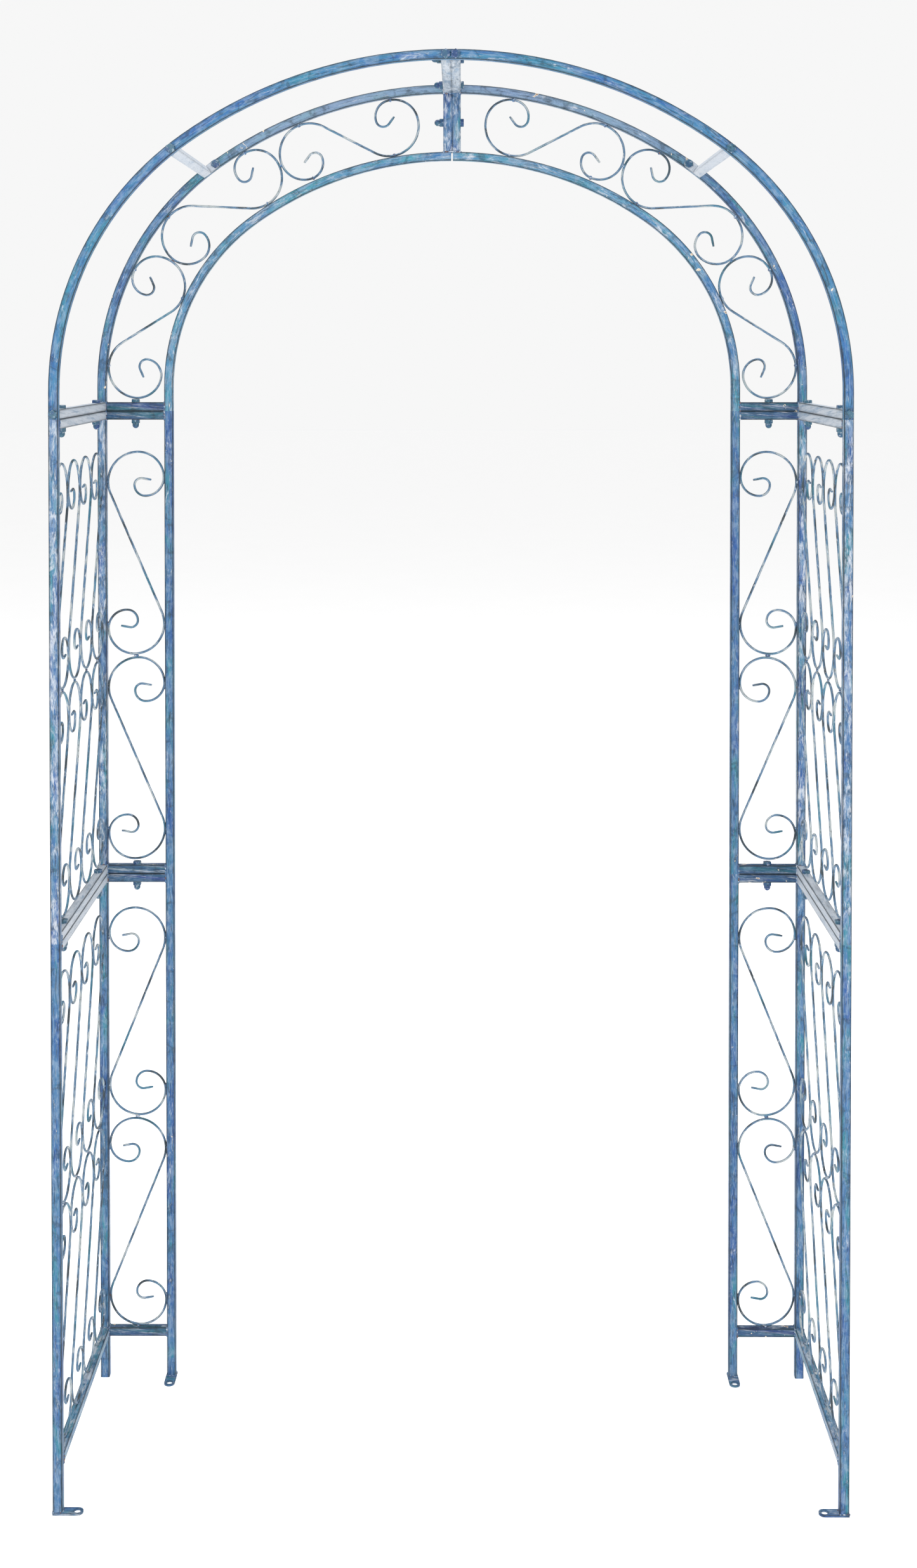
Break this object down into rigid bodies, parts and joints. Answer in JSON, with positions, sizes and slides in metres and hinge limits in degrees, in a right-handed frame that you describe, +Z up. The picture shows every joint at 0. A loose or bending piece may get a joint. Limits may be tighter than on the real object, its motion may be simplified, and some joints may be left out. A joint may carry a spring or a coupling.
{
  "type": "metal trellis arch",
  "caption": "Tall garden arch of square steel tube: scrolled side and back panels, bent hoops above, bolted at the joints.",
  "frame": {"origin": "on the ground, at the middle of the arch's bounding box", "axes": "+Z up, -Y towards the front single hoop, +X to the right seen from the front"},
  "size_m": [1.22, 0.4504, 2.24],
  "materials": {
    "frame_tube": "hand-brushed distressed blue paint with pale wash, satin",
    "tie_tube": "hand-brushed pale blue-grey paint, satin",
    "scroll_wire": "thin worn blue-grey paint, satin",
    "fasteners": "cobalt blue paint, worn pale on the edges",
    "foot_plate": "worn blue paint",
    "insert_steel": "plain zinc-plated steel"
  },
  "bodies": {
    "root": {"cap_nuts": "fasteners", "foot_plates": "foot_plate", "left_arch_scrolls": "scroll_wire", "left_base_bar": "frame_tube", "left_base_tie": "tie_tube", "left_crown_bar": "frame_tube", "left_crown_tie": "tie_tube", "left_front_hoop": "frame_tube", "left_inner_hoop": "frame_tube", "left_lower_back_bottom_rail": "frame_tube", "left_lower_back_scrolls": "scroll_wire", "left_lower_back_top_rail": "frame_tube", "left_lower_front_post": "frame_tube", "left_lower_inner_post": "frame_tube", "left_lower_rear_post": "frame_tube", "left_lower_side_bottom_rail": "frame_tube", "left_lower_side_scrolls": "scroll_wire", "left_lower_side_top_rail": "frame_tube", "left_rear_hoop": "frame_tube", "left_shoulder_tie": "tie_tube", "left_upper_back_bottom_rail": "frame_tube", "left_upper_back_scrolls": "scroll_wire", "left_upper_back_top_rail": "frame_tube", "left_upper_front_post": "frame_tube", "left_upper_inner_post": "frame_tube", "left_upper_rear_post": "frame_tube", "left_upper_side_bottom_rail": "frame_tube", "left_upper_side_scrolls": "scroll_wire", "left_upper_side_top_rail": "frame_tube", "long_bolts": "fasteners", "right_arch_scrolls": "scroll_wire", "right_base_bar": "frame_tube", "right_base_tie": "tie_tube", "right_crown_bar": "frame_tube", "right_crown_tie": "tie_tube", "right_front_hoop": "frame_tube", "right_inner_hoop": "frame_tube", "right_lower_back_bottom_rail": "frame_tube", "right_lower_back_scrolls": "scroll_wire", "right_lower_back_top_rail": "frame_tube", "right_lower_front_post": "frame_tube", "right_lower_inner_post": "frame_tube", "right_lower_rear_post": "frame_tube", "right_lower_side_bottom_rail": "frame_tube", "right_lower_side_scrolls": "scroll_wire", "right_lower_side_top_rail": "frame_tube", "right_rear_hoop": "frame_tube", "right_shoulder_tie": "tie_tube", "right_upper_back_bottom_rail": "frame_tube", "right_upper_back_scrolls": "scroll_wire", "right_upper_back_top_rail": "frame_tube", "right_upper_front_post": "frame_tube", "right_upper_inner_post": "frame_tube", "right_upper_rear_post": "frame_tube", "right_upper_side_bottom_rail": "frame_tube", "right_upper_side_scrolls": "scroll_wire", "right_upper_side_top_rail": "frame_tube", "short_bolts": "fasteners", "tie_end_inserts": "insert_steel"}
  },
  "joints": []
}
